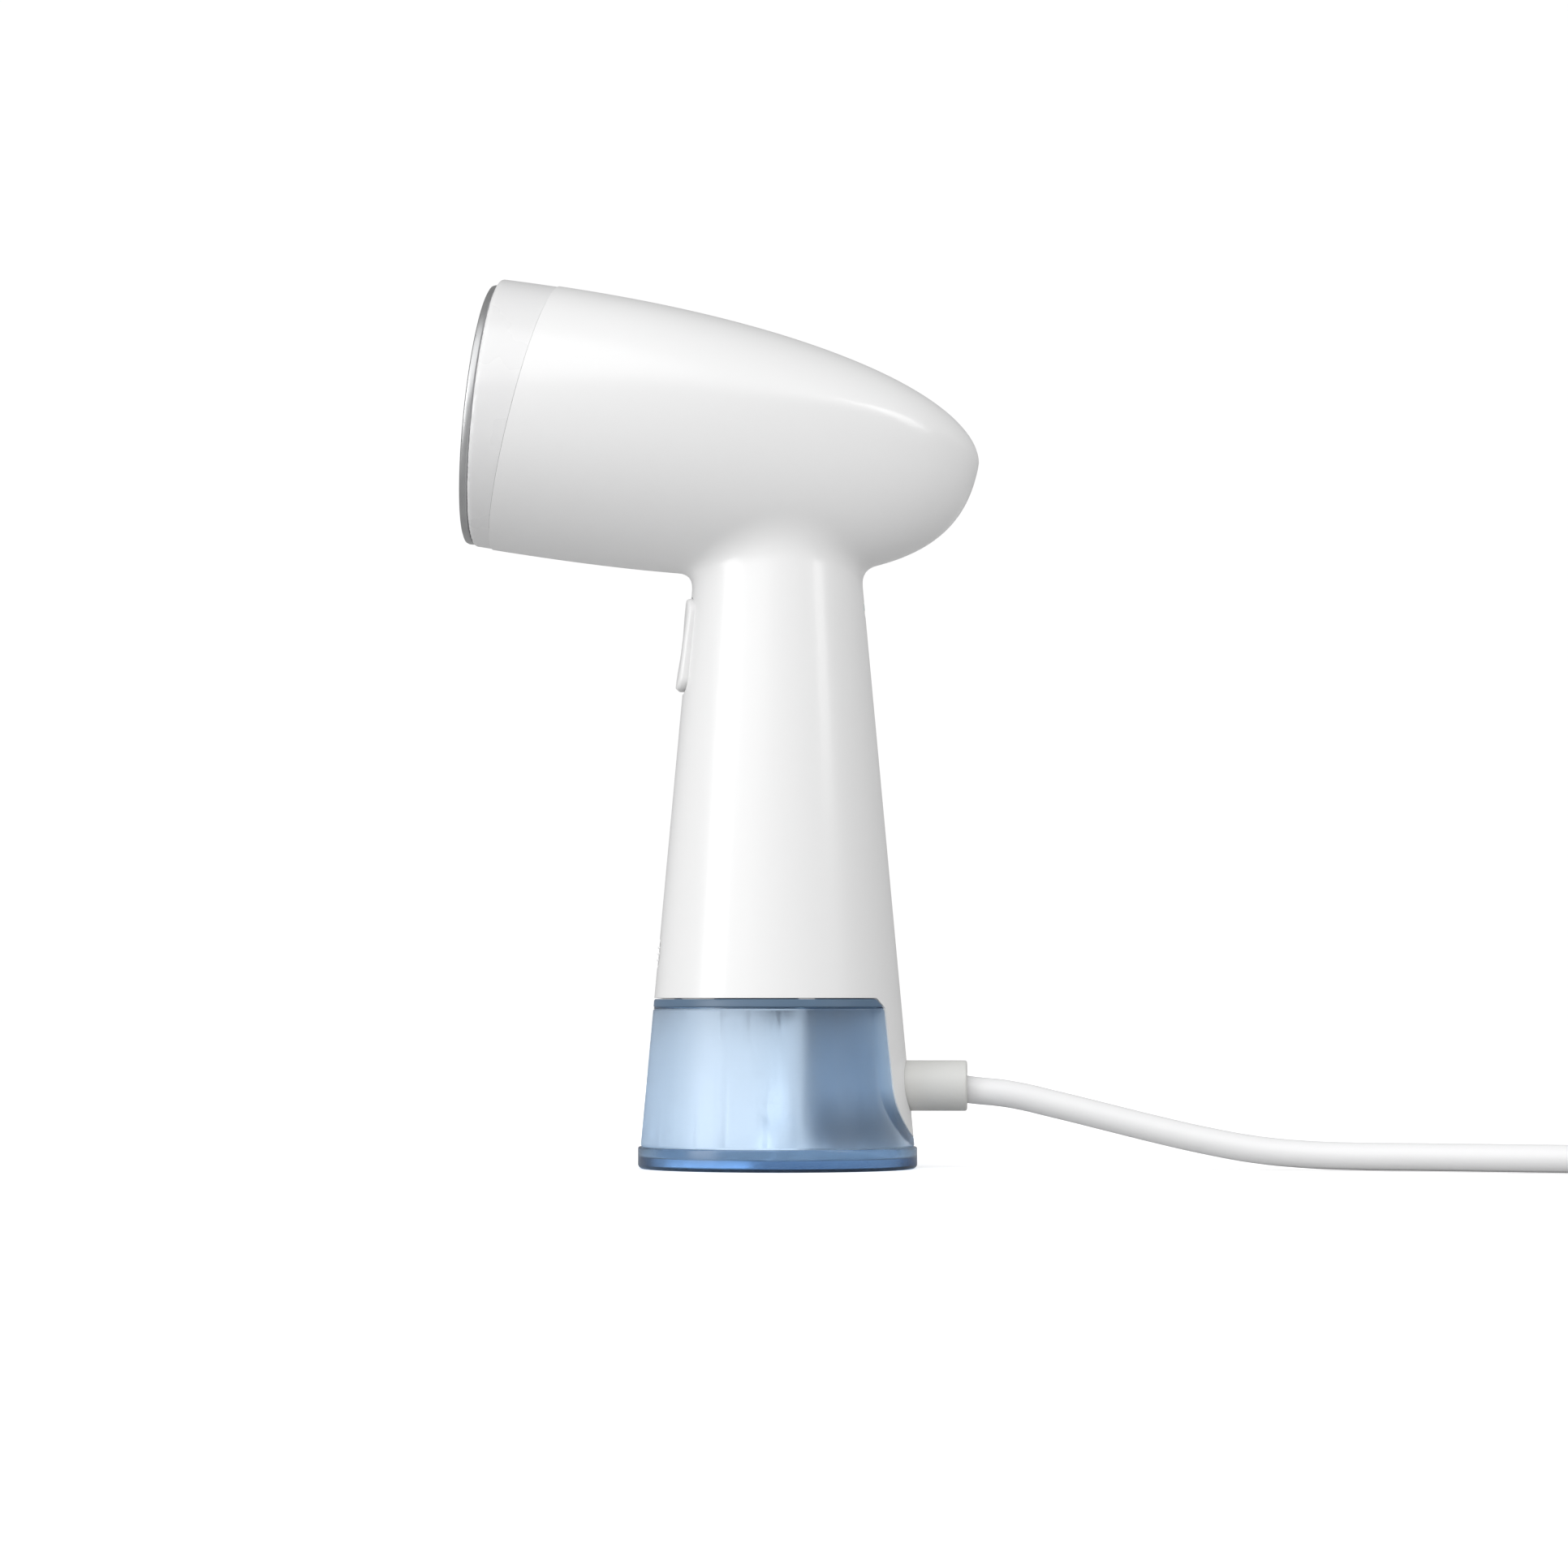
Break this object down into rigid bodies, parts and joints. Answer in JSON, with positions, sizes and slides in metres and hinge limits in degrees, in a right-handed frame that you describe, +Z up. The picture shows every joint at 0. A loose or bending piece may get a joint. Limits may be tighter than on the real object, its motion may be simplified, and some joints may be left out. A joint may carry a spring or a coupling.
{
  "type": "garment steamer",
  "caption": "Handheld garment steamer with a tilted round steam plate, a conical grip, a lift-off water tank as its foot, a finger trigger and a mains cord.",
  "frame": {"origin": "centre of the tank's flat base, on the surface it stands on", "axes": "+Z up the grip, -X the way the steam plate faces, +X the way the mains cord leaves, Y across"},
  "size_m": [0.4177, 0.1144, 0.2399],
  "materials": {
    "gloss_white": "glossy injection-moulded casing",
    "inner_white": "plain moulded plastic",
    "shade_white": "semi-gloss moulded plastic",
    "tank_blue": "clear blue-tinted moulded plastic",
    "deep_blue": "clear deep blue moulded plastic",
    "silicone": "soft silicone",
    "red_silicone": "heat-proof silicone",
    "warm_grey": "satin moulded plastic",
    "plate_metal": "fine-ground metal plate",
    "cast_aluminium": "as cast",
    "steel": "plain steel",
    "copper": "wound enamelled wire",
    "copper_wire": "insulated wire",
    "black_plastic": "moulded black plastic",
    "black_rubber": "moulded rubber",
    "board_green": "circuit board",
    "clear_plastic": "clear moulded plastic",
    "cord_white": "satin sheath",
    "plug_white": "satin moulded plug",
    "brass": "plated pins"
  },
  "bodies": {
    "tank": {"tank_shell": "tank_blue", "tank_lid": "tank_blue", "tank_foot": "deep_blue", "outlet_seal": "silicone", "pickup_tube": "clear_plastic", "pickup_filter": "clear_plastic", "cord_run": "cord_white", "cord_coil": "cord_white", "coil_tie": "black_rubber", "cord_tail": "cord_white", "plug_body": "plug_white", "plug_pin_1": "brass", "plug_pin_2": "brass"},
    "housing": {"housing_left": "gloss_white", "housing_right": "gloss_white", "base_plate": "inner_white", "steam_plate": "plate_metal", "plate_seal": "silicone", "chamber_gasket": "red_silicone", "steam_chamber": "cast_aluminium", "heating_element": "steel", "thermostat": "black_plastic", "thermal_fuse": "inner_white", "front_bezel": "shade_white", "trigger_pin": "steel", "switch_bracket": "inner_white", "microswitch": "black_plastic", "trigger_spring": "steel", "release_spring": "steel", "pump_body": "inner_white", "plunger_spring": "steel", "pump_coil": "copper", "pump_yoke": "steel", "pump_mount_lower": "black_rubber", "pump_mount_upper": "black_rubber", "inlet_nipple": "warm_grey", "inlet_hose": "silicone", "outlet_hose": "silicone", "control_board": "board_green", "power_relay": "black_plastic", "ready_light_lens": "clear_plastic", "mains_wire_live": "black_plastic", "mains_wire_neutral": "copper_wire", "cord_guard": "warm_grey", "cord_lead_in": "cord_white", "cord_saddle": "warm_grey", "cord_clamp": "warm_grey", "clamp_screw_1": "steel", "clamp_screw_2": "steel", "housing_screw_1": "steel", "housing_screw_2": "steel", "housing_screw_3": "steel", "housing_screw_4": "steel", "chamber_screw_1": "steel", "chamber_screw_2": "steel", "chamber_screw_3": "steel"},
    "filler": {"filler_plug": "silicone"},
    "trigger": {"steam_trigger": "gloss_white"},
    "release": {"tank_release_button": "gloss_white"},
    "plunger": {"pump_plunger": "steel"}
  },
  "joints": [
    {"name": "trigger_press", "type": "hinge", "parent": "housing", "child": "trigger", "pos_m": [-0.0175, 0, 0.15], "axis": [0, -1, 0], "range_deg": [0, 4.5], "stiffness_Nm_per_rad": 2, "springref_deg": -2.86, "deforming": ["trigger_spring"]},
    {"name": "housing_lift", "type": "slide", "parent": "tank", "child": "housing", "axis": [0, 0, 1], "range_m": [0, 0.045]},
    {"name": "filler_pull", "type": "slide", "parent": "tank", "child": "filler", "axis": [0, 0, 1], "range_m": [0, 0.0065]},
    {"name": "release_press", "type": "slide", "parent": "housing", "child": "release", "axis": [1, 0, 0], "range_m": [0, 0.002], "stiffness_N_per_m": 600, "springref_m": -0.0015, "deforming": ["release_spring"]},
    {"name": "plunger_stroke", "type": "slide", "parent": "housing", "child": "plunger", "axis": [0, 0, 1], "range_m": [-0.002, 0.002], "stiffness_N_per_m": 800, "deforming": ["plunger_spring"]}
  ]
}
